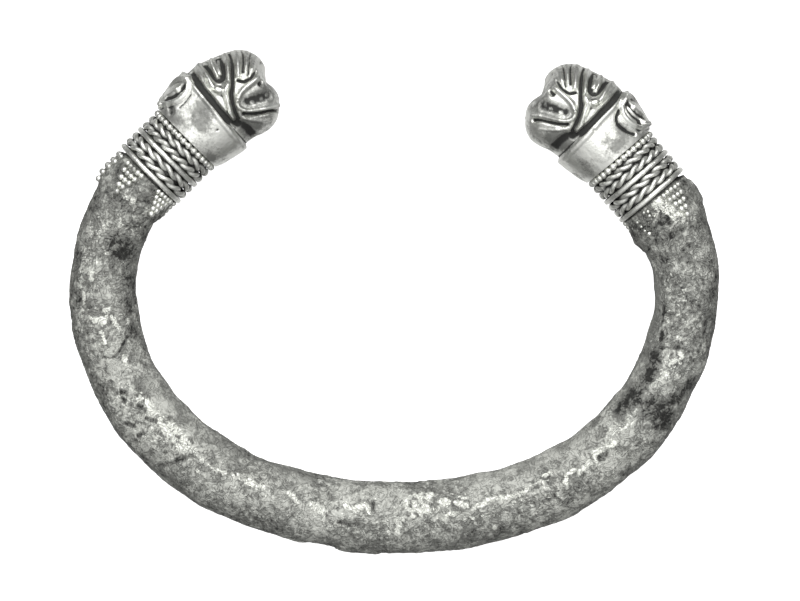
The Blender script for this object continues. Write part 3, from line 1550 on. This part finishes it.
@dataclass
class Granules:
    """Triangles of small beads that point down the bar from the lower wire."""

    end: EndFrame
    line: HoopLine
    resting: Resting
    silver: bpy.types.Material
    tree: GrownMesh
    bearings: tuple[float, ...]
    # how much deeper each triangle sits in the crust, in mm
    sunk: tuple[float, ...]
    shape: BarShape = field(default_factory=BarShape)
    rows: int = 5
    # how far apart beads lie down the bar and round it, and the first row from the lower wire
    pitch: Place = (0.8, 0.66)
    first: float = 0.9
    # a bead's radius, and how far its middle lies above the skin
    bead: float = 0.38
    seat: float = 0.14
    rounds: int = 2
    jitter: float = 0.09
    # how far above the bar's skin the pitch round the bar is measured
    pitch_rise: float = 0.25
    # a bead's least size, its spread, and how much larger each row is than the one above it
    scale: tuple[float, float, float] = (0.94, 0.1, 0.025)
    # how dirty a bead is at its middle height, and how fast that changes with height
    dirt: Place = (0.12, -0.85)
    # beads that stayed where a triangle has gone, as (a, h, radius)
    left_over: tuple[tuple[float, float, float], ...] = ()

    def _on_bar(self, back: Array, bearing: Array, lift: Array) -> Array:
        """Points on the bar's skin, lifted a little, laid out.

        Args:
            back: distances back from the lower wire.
            bearing: degrees round the bar.
            lift: how far above the skin each point lies.

        Returns:
            Laid-out points.
        """
        length = self.line.length(self.end.side)
        at, _, outward = self.line.at(self.end.side, length - back)
        radius = self.shape.radius(self.end.side, length, back, bearing) + lift
        t = np.radians(bearing)
        flat = at + outward * (radius * np.sin(t))[:, None]
        return np.column_stack([flat, radius * np.cos(t)])

    def _show(
        self, label: str, back: Array, bearing: Array, bead: Array, nodes: list[str], sunk: float = 0.0,
    ) -> None:
        """Sets beads on the bar and shows them as one piece.

        Args:
            label: the piece's name.
            back: how far each bead lies down the bar from the lower wire.
            bearing: where it lies round the bar, in degrees.
            bead: its radius.
            nodes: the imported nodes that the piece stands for.
            sunk: how much deeper than the rest the beads sit.
        """
        points = self.resting.settle(self._on_bar(back, bearing, bead - (self.bead - self.seat) - sunk))
        mesh = self.tree.grow(label, path_mesh(label, points, False, bead * MM), {"Rounds": self.rounds})
        places = places_of(mesh).reshape(len(bead), -1, 3)
        centre = places.mean(axis=1, keepdims=True)
        settled = self.resting.settle(self._on_bar(back, bearing, bead))
        root = self.resting.settle(self._on_bar(back, bearing, bead - 1.0))
        out = (settled - root) / np.linalg.norm(settled - root, axis=1, keepdims=True)
        high = np.einsum("bvk,bk->bv", places - centre, out) / (bead[:, None] * MM)
        give(mesh, "hollow", np.clip(self.dirt[0] + self.dirt[1] * high, 0, 1.1).ravel())
        give(mesh, "stain", [])
        Piece.show(label, mesh, self.silver, "wirework", nodes)

    def triangles(self) -> None:
        """The triangles that are whole."""
        length = self.line.length(self.end.side)
        for k, facing in enumerate(self.bearings):
            draw = np.random.default_rng(self.end.seed(Draw.GRAINS, k))
            cells = [
                (row, spot - (self.rows - row - 1) / 2)
                for row in range(self.rows) for spot in range(self.rows - row)
            ]
            row, across = np.array(cells, float).T
            jitter = self.jitter * (draw.random((2, len(cells))) - 0.5)
            back = self.first + (row + jitter[0]) * self.pitch[0]
            skin = self.shape.radius(self.end.side, length, np.zeros(1), np.array([facing]))[0]
            turn = (across + jitter[1]) * self.pitch[1] / (skin + self.pitch_rise)
            bearing = facing + np.degrees(turn)
            least, spread, growth = self.scale
            bead = self.bead * (least + spread * draw.random(len(cells)) + growth * row)
            node = f"{self.end.side.value}_granules_{k + 1}"
            self._show(node + "_beads", back, bearing, bead, [node], self.sunk[k])

    def stragglers(self) -> None:
        """Single beads left on the skin."""
        if not self.left_over:
            return
        a, h, bead = np.array(self.left_over).T
        length = self.line.length(self.end.side)
        radius = self.shape.radius(self.end.side, length, -a, np.zeros(len(a)))
        bearing = np.degrees(np.arcsin(np.clip(h / radius, -1, 1)))
        self._show(f"{self.end.side.value}_stray_beads", -a, bearing, bead, [])


@dataclass(frozen=True)
class HeadPose:
    """How one head differs from the other: its roll about the end's axis and where its face sits."""

    roll: float = 0.0
    face: Place = (0.0, 0.0)
    jaw: Place = (0.0, 0.0)


@dataclass
class CarvedHead:
    """A beast's head on a sleeve, carved with strokes that are raised or cut in."""

    end: EndFrame
    resting: Resting
    silver: bpy.types.Material
    pose: HeadPose
    neck: float = 6.27
    base: float = CollarSizes().head_base
    ring_points: int = 400
    sleeve_rings: int = 55
    face_rings: int = 180
    fullness: float = 0.92
    crown_narrows: float = 0.2
    narrows_from: float = 13.0
    narrows_over: float = 5.0
    muzzle: Place = (18.1, -2.0)
    # how deep and how high the strokes may add up to, in mm
    limits: Place = (-0.75, 0.7)
    # towards the muzzle the carving fades, by its whole height over this share of the face
    calm_share: float = 0.12
    crown_depth: float = 0.3
    crown_reach: float = 2.6
    # how deep and how large the dents are
    dents: Place = (0.03, 1.5)
    cut_dirt: float = 1.8
    stroke_steps: int = 8

    # how much hollows of each scale count, as (share, how far it is averaged, depth in mm)
    HOLLOWS = ((0.5, 150, 0.3), (0.7, 40, 0.16), (0.5, 8, 0.05))
    # stations as (crown a, crown h, jaw a, jaw h, half breadth, bow)
    SLEEVE = np.array([
        [6.27, 5.2, 6.27, -5.05, 5.1, 0], [7.4, 5.7, 7.2, -5.45, 5.3, 0],
        [9.0, 6.0, 8.6, -5.8, 5.5, 0], [10.6, 6.15, 9.8, -6.05, 5.65, 0],
        [11.7, 6.25, 10.6, -6.15, 5.75, 0],
    ])
    FACE = np.array([
        [11.95, 5.62, 10.95, -5.62, 5.1, 0], [13.0, 5.6, 12.3, -5.85, 5.25, 0],
        [14.2, 5.3, 13.5, -6.3, 5.2, 0], [15.5, 4.8, 14.6, -6.45, 4.95, 0],
        [17.0, 4.15, 15.6, -6.3, 4.6, 0], [18.1, 3.55, 16.4, -5.9, 4.3, 0.05],
        [18.9, 2.75, 17.1, -5.3, 3.9, 0.3], [19.4, 1.8, 17.7, -4.7, 3.5, 0.6],
        [19.6, 0.6, 18.1, -4.0, 2.9, 0.85], [19.35, -0.5, 18.22, -3.3, 2.0, 0.75],
        [18.75, -1.2, 18.2, -2.7, 1.1, 0.35],
    ])
    # each stroke as (height, half width, its run on the side of the head); minus is cut in
    STROKES = {
        "ear, upper rim": (
            0.5, 0.55, (7.0, 4.9), (7.4, 5.6), (8.2, 5.98), (9.5, 6.0), (10.8, 5.7), (11.4, 5.0),
        ),
        "ear, lower rim": (
            0.45, 0.5, (7.0, 4.9), (7.7, 4.5), (8.5, 4.0), (9.5, 3.8), (10.6, 4.0), (11.4, 4.7),
        ),
        "ear, hollow": (-0.45, 0.6, (8.0, 5.2), (9.0, 4.8), (10.4, 4.75)),
        "ear, knob": (0.4, 0.42, (9.6, 4.95), (9.7, 4.95)),
        "behind the ear": (-0.16, 0.7, (7.2, 3.5), (7.6, 4.0)),
        "rim": (
            0.14, 0.45, (11.5, 5.6), (11.5, 3.8), (11.3, 2.4), (11.2, 1.0), (11.0, -0.4), (10.8, -1.8),
            (10.65, -3.2), (10.5, -4.6), (10.4, -5.8),
        ),
        "groove behind the cheek": (
            -0.46, 0.66, (12.4, 5.3), (12.2, 4.0), (11.95, 2.6), (11.85, 1.2), (11.7, 0.2), (11.6, -0.8),
            (11.6, -2.0), (11.9, -3.4),
        ),
        "throat": (-0.42, 0.85, (12.1, -3.2), (12.4, -4.5), (12.3, -5.6)),
        "cheekbone, rear arm": (0.5, 0.55, (13.6, 5.6), (13.7, 4.5), (13.35, 3.1), (13.05, 2.0), (13.3, 1.1)),
        "cheekbone, knot": (0.36, 0.7, (13.2, 1.2), (13.7, 0.75), (14.2, 0.95)),
        "cheekbone, front arm": (
            0.46, 0.45, (13.9, 0.6), (14.5, 0.8), (15.1, 1.4), (15.7, 2.1), (16.3, 2.8), (16.8, 3.4),
            (16.9, 4.0),
        ),
        "cheekbone, tail": (0.4, 0.5, (13.5, 0.3), (13.1, -0.5), (12.7, -1.2), (12.25, -1.9), (12.1, -2.8)),
        "eye socket": (
            -0.55, 0.72, (14.15, 4.8), (14.1, 3.4), (14.25, 2.2), (14.9, 2.3), (15.6, 3.2), (15.95, 4.3),
        ),
        "eyelid": (0.42, 0.34, (14.3, 2.7), (14.6, 3.6), (15.2, 4.7)),
        "brow fold": (0.3, 0.3, (14.95, 2.7), (15.35, 3.4), (15.85, 4.2)),
        "cheek groove": (
            -0.5, 0.5, (12.4, -2.9), (12.9, -1.9), (13.35, -1.0), (14.0, -0.25), (14.8, 0.5), (15.5, 1.2),
            (16.1, 1.9), (16.7, 2.7), (17.3, 3.8),
        ),
        "snout, first ridge": (0.38, 0.5, (16.2, 0.8), (16.8, 1.5), (17.4, 2.2), (17.9, 2.9), (18.1, 3.4)),
        "snout, first furrow": (-0.32, 0.32, (17.0, 0.85), (17.9, 1.7), (18.5, 2.4), (18.7, 3.0)),
        "snout, second ridge": (0.25, 0.35, (17.0, 0.4), (18.0, 1.3), (18.8, 2.1), (19.1, 2.4)),
        "snout, second furrow": (-0.32, 0.32, (17.2, 0.15), (18.2, 0.9), (19.0, 1.6), (19.4, 1.9)),
        "nose": (0.28, 0.5, (18.0, 0.3), (18.8, 0.7), (19.5, 1.1)),
        "under the nose": (
            -0.5, 0.42, (15.9, 0.5), (16.3, -0.1), (17.2, -0.35), (18.2, -0.25), (19.0, -0.1), (19.6, 0.1),
        ),
        "upper lip": (0.42, 0.5, (14.1, -1.15), (15.1, -0.85), (16.2, -0.85), (17.2, -0.95), (18.0, -1.0)),
        "muzzle, curved fold": (
            0.4, 0.42, (13.9, -1.3), (13.6, -1.8), (13.65, -2.4), (13.95, -2.95), (14.5, -3.4), (15.2, -3.9),
            (16.0, -4.4), (17.2, -5.2),
        ),
        "whisker pad": (-0.34, 1.0, (14.9, -2.2), (16.0, -2.8), (17.3, -3.6)),
        "whisker knob, rear": (0.1, 0.45, (15.15, -2.6), (15.25, -2.65)),
        "whisker knob, middle": (0.12, 0.45, (16.3, -3.15), (16.4, -3.2)),
        "whisker knob, front": (0.12, 0.45, (17.2, -3.4), (17.3, -3.45)),
        "mouth corner": (-0.6, 0.5, (17.5, -1.75), (18.1, -1.75), (18.5, -1.7)),
        "mouth": (-0.55, 0.45, (13.5, -3.0), (14.2, -3.8), (15.1, -4.5), (15.9, -5.0), (16.6, -5.6)),
        "lower lip": (0.28, 0.34, (13.1, -3.4), (13.7, -4.3), (14.5, -5.2), (15.3, -5.8)),
    }
    # finer strokes than the solids hold
    FINE = {
        Side.LEFT: {
            "fold before the ear": (-0.1, 0.2, (8.3, 3.2), (9.3, 3.15), (10.4, 3.3)),
            "pin dot": (-0.12, 0.22, (9.65, -2.1), (9.75, -2.1)),
            "ear, inner line": (-0.14, 0.2, (8.4, 4.75), (9.2, 4.4), (10.3, 4.45)),
        },
        Side.RIGHT: {
            "fold under the ear": (-0.42, 0.42, (7.2, 2.6), (8.0, 2.1), (9.2, 1.8), (10.1, 2.2), (10.5, 3.0)),
            "pin dot": (-0.12, 0.22, (10.75, -1.0), (10.85, -1.0)),
            "ear, wider hollow": (-0.75, 0.62, (7.9, 4.35), (8.8, 4.05), (9.7, 4.0), (10.5, 4.2)),
            "ear, wider rim": (
                0.45, 0.42, (6.9, 4.6), (7.3, 3.9), (8.0, 3.3), (9.0, 3.0), (10.0, 3.1), (10.8, 3.6),
                (11.3, 4.4),
            ),
        },
    }
    # stains as (a, h, half length, half width, strength)
    STAINS = {
        Side.LEFT: (
            (9.9, 0.5, 1.5, 1.6, 1.0), (8.4, 0.2, 1.2, 1.6, 0.6), (6.8, -3.8, 0.6, 0.8, 0.8),
            (7.1, 2.8, 0.9, 1.4, 0.8), (9.6, 3.4, 1.3, 0.9, -1.0), (10.2, -3.4, 1.5, 1.4, -0.9),
            (12.3, -3.8, 1.1, 1.7, 1.0), (13.1, -4.8, 1.2, 1.0, 1.0), (16.3, -2.7, 2.0, 1.2, 1.0),
        ),
        Side.RIGHT: (
            (7.4, 0.6, 0.8, 1.6, 0.9), (9.0, 0.2, 0.8, 1.0, 0.5), (8.2, -3.9, 1.6, 0.5, 0.8),
            (8.8, 2.4, 1.2, 0.8, 1.0), (10.4, 2.6, 0.9, 0.9, -1.0), (9.6, -2.0, 1.3, 1.6, -1.0),
            (12.3, -3.8, 1.1, 1.7, 1.0), (13.0, -4.7, 1.2, 1.1, 1.0), (16.3, -2.8, 2.0, 1.2, 1.0),
        ),
    }

    def _stations(self) -> Array:
        """Works out the head's rings, from the neck to the muzzle.

        Returns:
            A row for each ring, as in SLEEVE and FACE.
        """
        step = np.minimum(1, np.arange(len(self.FACE)) / 3)[:, None]
        moved = self.FACE.copy()
        moved[:, 0:2] += step * np.array(self.pose.face)
        moved[:, 2:4] += step * np.array(self.pose.jaw)
        sleeve = smooth_rows(self.SLEEVE, np.linspace(0, 1, self.sleeve_rings + 1))
        return np.vstack([sleeve, smooth_rows(moved, np.linspace(0, 1, self.face_rings + 1))])

    def _narrowed(self, crown_a: Array, c: Array) -> Array:
        """How the half breadth of a ring shrinks towards the crown, more so near the muzzle."""
        near = np.clip((crown_a - self.narrows_from) / self.narrows_over, 0, 1)
        return 1 - self.crown_narrows * near * np.maximum(0, c) ** 1.5

    def _rings(self, stations: Array) -> Array:
        """Every ring's points, as (a, h, w).

        Args:
            stations: the head's rings.

        Returns:
            An array of (ring, point, coordinate).
        """
        t = np.arange(self.ring_points) * TURN / self.ring_points
        c, s = np.cos(t), np.sin(t)
        ca, ch, ja, jh, breadth, bow = (column[:, None] for column in stations.T)
        a = (ca + ja) / 2 + (ca - ja) / 2 * c - bow * s * s
        h = (ch + jh) / 2 + (ch - jh) / 2 * c
        w = breadth * np.sign(s) * np.abs(s) ** self.fullness * self._narrowed(ca, c)
        return np.stack([a, h, w], axis=-1)

    def _breadth_at(self, stations: Array, a: float, h: float) -> float:
        """Finds how broad the uncarved head is where a line of sight meets its side.

        Args:
            stations: the head's rings.
            a: how far along the end's axis.
            h: how far from it.

        Returns:
            The half breadth, or 0 where the line misses the head.
        """
        ca, ch, ja, jh = stations[:, :4].T
        across = (ca - ja) * (h - jh) - (ch - jh) * (a - ja)
        for i in np.flatnonzero((across[:-1] > 0) != (across[1:] > 0)):
            share = across[i] / (across[i] - across[i + 1])
            row = stations[i] + (stations[i + 1] - stations[i]) * share
            run = row[0:2] - row[2:4]
            c = 2 * (np.array([a, h]) - row[2:4]) @ run / (run @ run) - 1
            if abs(c) < 1.05:
                full = max(0, 1 - c * c) ** (self.fullness / 2)
                return float(row[4] * full * self._narrowed(row[0], c))
        return 0.0

    def _carving(self, points: Array, stations: Array) -> Array:
        """Adds up the strokes that reach each point.

        Args:
            points: points of the uncarved head.
            stations: the head's rings.

        Returns:
            A height in millimetres for each.
        """
        roll = self.pose.roll * self.end.up
        c, s = math.cos(roll), math.sin(roll)
        turned = np.column_stack([
            points[:, 0], points[:, 1] * c - points[:, 2] * s, np.abs(points[:, 1] * s + points[:, 2] * c),
        ])
        total = np.zeros(len(points))
        for height, half, *run in (self.STROKES | self.FINE[self.end.side]).values():
            line = smooth_rows(np.array(run), np.linspace(0, 1, (len(run) - 1) * self.stroke_steps + 1))
            line = np.column_stack([line, [self._breadth_at(stations, a, h) for a, h in line]])
            close = np.all((turned > line.min(axis=0) - half) & (turned < line.max(axis=0) + half), axis=1)
            spot = turned[close]
            least = np.full(len(spot), half * half)
            for place in line:
                least = np.minimum(least, np.sum((spot - place) ** 2, axis=1))
            total[close] += height * (1 - least / half**2) ** 2
        return np.clip(total, *self.limits)

    def make(self) -> bpy.types.Object:
        """Builds the head.

        Returns:
            The head.
        """
        side = self.end.side
        stations = self._stations()
        rings = self._rings(stations)
        count = len(rings)
        jaw = self.pose.jaw
        muzzle = np.array([self.muzzle[0] + jaw[0], self.muzzle[1] + jaw[1] / 2, 0.0])
        flat = rings.reshape(-1, 3)
        depth = self._carving(flat, stations).reshape(count, -1)
        fade = np.minimum(1, 0.25 + (count - np.arange(count)) / (self.calm_share * self.face_rings))[:, None]
        dented = Grain(self.end.seed(Draw.DENTS)).rough(flat, self.dents[1], 3).reshape(count, -1)
        depth = depth * fade + self.dents[0] * dented
        after = np.concatenate([rings[1:], np.broadcast_to(muzzle, (1,) + rings.shape[1:])])
        before = np.concatenate([rings[:1], rings[:-1]])
        normal = np.cross(np.roll(rings, -1, axis=1) - np.roll(rings, 1, axis=1), after - before)
        normal /= np.linalg.norm(normal, axis=2, keepdims=True)
        # calmer along the crown and the chin, so that the outline stays smooth
        beside = smooth_step(0.2, self.crown_reach, np.abs(rings[..., 2]))
        depth *= self.crown_depth + (1 - self.crown_depth) * beside
        depth[0] = 0
        carved = rings + normal * depth[..., None]
        deep = sum(share * hollowness(carved, reach, low) for share, reach, low in self.HOLLOWS)
        ends = np.array([carved[0].mean(axis=0), muzzle])
        points = np.vstack([carved.reshape(-1, 3), ends])
        points[:, 0] += self.base - self.neck
        quads, fans = closed_grid(count, self.ring_points, True)
        label = f"{side.value}_head_carved"
        mesh = mesh_of(label, self.resting.settle(self.end.place(points)), quads, fans)
        cut = np.clip(-depth.ravel() * self.cut_dirt, 0, 0.8)
        give(mesh, "hollow", np.clip(deep + cut, -1, 1.4))
        give(mesh, "stain", self._stains(flat))
        return Piece.show(label, mesh, self.silver, "silver", [f"{side.value}_head"])

    def _stains(self, points: Array) -> Array:
        """Clouds or brightens the side that lies uppermost.

        Args:
            points: points of the uncarved head.

        Returns:
            From -1, bright, to 1, clouded.
        """
        stain = np.zeros(len(points))
        seen = smooth_step(-1.0, 1.0, points[:, 2] * self.end.up)
        for a, h, long, wide, strength in self.STAINS[self.end.side]:
            away = ((points[:, 0] - a) / long) ** 2 + ((points[:, 1] - h) / wide) ** 2
            stain += strength * seen * np.exp(-(away**1.5))
        return np.clip(stain, -1, 1)


@dataclass
class Studio:
    """The pale floor, soft lights and the camera, which looks straight down."""

    photo: Photograph = field(default_factory=Photograph)
    width_px: float = 800.0
    height_px: float = 601.0
    distance: float = 0.8
    nearest: float = 0.05
    sensor: float = 36.0
    # the height above the floor at which the picture's scale holds
    seen_height: float = 0.005
    floor_half: float = 0.6
    floor_drop: float = 0.00005
    # how bright the room is at eye level, overhead and far below, and between which heights it changes
    low: float = 0.1
    high: float = 0.72
    ground: float = 0.62
    rise: Place = (-0.15, 0.75)
    fall: Place = (-0.85, -0.2)

    # soft lights as (name, place, width and height, power)
    LAMPS = (
        ("overhead", (0.0, 0.0, 0.95), (0.8, 0.8), 2.6),
        ("wide_and_high", (0.0, 0.62, 0.62), (1.3, 0.5), 6.5),
    )

    def build(self, resting: Resting) -> None:
        """Adds the floor, the lights and the camera.

        Args:
            resting: how the bracelet is set down.
        """
        self._floor()
        for lamp in self.LAMPS:
            self._lamp(*lamp)
        self._room()
        bpy.context.scene.view_settings.view_transform = "Standard"
        self._camera(resting)

    def _room(self) -> None:
        """The light that comes from all round: bright overhead, dim at the sides, pale from below."""
        world = bpy.data.worlds.new("room")
        world.use_nodes = True
        tree = world.node_tree
        facing = tree.nodes.new("ShaderNodeTexCoord").outputs["Generated"]
        height = tree.nodes.new("ShaderNodeSeparateXYZ")
        tree.links.new(facing, height.inputs[0])
        total = tree.nodes.new("ShaderNodeMath")
        ramps = ((self.rise, (self.low, self.high)), (self.fall, (self.ground, 0.0)))
        for k, (heights, levels) in enumerate(ramps):
            ramp = tree.nodes.new("ShaderNodeMapRange")
            ramp.interpolation_type = "SMOOTHSTEP"
            for name, value in zip(("From Min", "From Max", "To Min", "To Max"), heights + levels):
                ramp.inputs[name].default_value = value
            tree.links.new(height.outputs["Z"], ramp.inputs["Value"])
            tree.links.new(ramp.outputs[0], total.inputs[k])
        background = tree.nodes["Background"]
        tree.links.new(total.outputs[0], background.inputs["Strength"])
        background.inputs["Color"].default_value = grey(1.0)
        bpy.context.scene.world = world

    def _floor(self) -> None:
        """A wide pale floor just under the bracelet."""
        half, under = self.floor_half, -self.floor_drop
        mesh = bpy.data.meshes.new("floor")
        corners = [(-half, -half, under), (half, -half, under), (half, half, under), (-half, half, under)]
        mesh.from_pydata(corners, [], [(0, 1, 2, 3)])
        mesh.materials.append(PaleFloor().make())
        floor = bpy.data.objects.new("floor", mesh)
        bpy.context.scene.collection.objects.link(floor)
        # as a distant white ground, which neither shows in the metal's sides nor lights them from below
        floor.visible_glossy = False
        floor.visible_diffuse = False

    def _lamp(self, name: str, place: tuple[float, float, float], size: Place, power: float) -> None:
        """A soft light that faces the bracelet.

        Args:
            name: the light's name.
            place: where it stands, in metres.
            size: its width and height in metres.
            power: its power in watts.
        """
        light = bpy.data.lights.new(name, "AREA")
        light.shape = "RECTANGLE"
        light.size, light.size_y = size
        light.energy = power
        lamp = bpy.data.objects.new(name, light)
        lamp.location = place
        towards = -np.array(place)
        flat = math.hypot(towards[0], towards[1])
        heading = math.atan2(towards[1], towards[0]) - math.pi / 2
        lamp.rotation_euler = (math.atan2(flat, -towards[2]), 0, heading)
        bpy.context.scene.collection.objects.link(lamp)

    def _camera(self, resting: Resting) -> None:
        """A long lens straight above the middle of the picture.

        Args:
            resting: how the bracelet is set down.
        """
        middle = self.photo.seen(((self.width_px / 2, self.height_px / 2),))[0]
        at = resting.settle(np.array([[middle[0], middle[1], 0.0]]))[0]
        camera = bpy.data.cameras.new("camera")
        camera.sensor_width = self.sensor
        width = self.width_px * self.photo.millimetres * MM
        camera.lens = self.sensor * (self.distance - self.seen_height) / width
        camera.clip_start = self.nearest
        holder = bpy.data.objects.new("camera", camera)
        holder.location = (at[0], at[1], self.distance)
        bpy.context.scene.collection.objects.link(holder)
        bpy.context.scene.camera = holder


class Bracelet:
    """The whole bracelet."""

    ROPE_SHIFTS = {Side.LEFT: (0.0, 0.1, 0.25, -0.35), Side.RIGHT: (0.8, -0.4, -0.1, -0.6)}
    BEAD_SHIFTS = {Side.LEFT: -0.15, Side.RIGHT: -0.3}
    # where the granulated triangles point, in degrees from straight up, and how much deeper each sits
    BEARINGS = {Side.LEFT: (78, 22, -46, -118, 170), Side.RIGHT: (28, -116, 172)}
    SUNK = {Side.LEFT: (0.1, 0.0, 0.0, 0.0, 0.0), Side.RIGHT: (0.0, 0.0, 0.0)}
    POSES = {Side.LEFT: HeadPose(), Side.RIGHT: HeadPose(math.radians(7), (0.15, -0.05), (0.2, -0.42))}
    STRAYS = {
        Side.LEFT: (),
        Side.RIGHT: (
            (-1.3, -1.7, 0.24), (-1.9, -1.85, 0.22), (-1.1, -2.2, 0.2), (-4.1, -2.95, 0.3),
            (-3.4, -3.3, 0.2), (-2.6, -3.4, 0.21), (-1.7, -3.5, 0.2), (-2.2, -4.3, 0.2),
        ),
    }

    def build(self) -> Resting:
        """Builds every piece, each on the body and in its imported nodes' place.

        Returns:
            How the bracelet is set down.
        """
        line = HoopLine()
        ends = {side: EndFrame(side, line) for side in Side}
        resting = Resting(ends)
        silver, crust = WornSilver().make(), Crust().make()
        strands = GrownMesh("swept_wire", silver)
        strands.close(strands.swept())
        beaded = GrownMesh("beaded_wire", silver)
        core = beaded.swept()
        beaded.close(core, beaded.beaded())
        grains = GrownMesh("grains", silver)
        grains.close(grains.beaded())
        CrustedHoop(line, resting, crust).make()
        for side, end in ends.items():
            shifts = self.ROPE_SHIFTS[side], self.BEAD_SHIFTS[side]
            collar = Collar(end, resting, silver, strands, beaded, *shifts)
            collar.wires()
            collar.plaits()
            collar.beaded_ring()
            triangles = Granules(
                end, line, resting, silver, grains, self.BEARINGS[side], self.SUNK[side],
                left_over=self.STRAYS[side],
            )
            triangles.triangles()
            triangles.stragglers()
            CarvedHead(end, resting, silver, self.POSES[side]).make()
        return resting


def main() -> None:
    """Builds the bracelet and the studio round it."""
    logging.basicConfig(level=logging.INFO, format="%(name)s %(message)s")
    resting = Bracelet().build()
    LOG.info("move %s", np.round(resting.move, 3))
    Studio().build(resting)


if __name__ == "__main__":
    main()
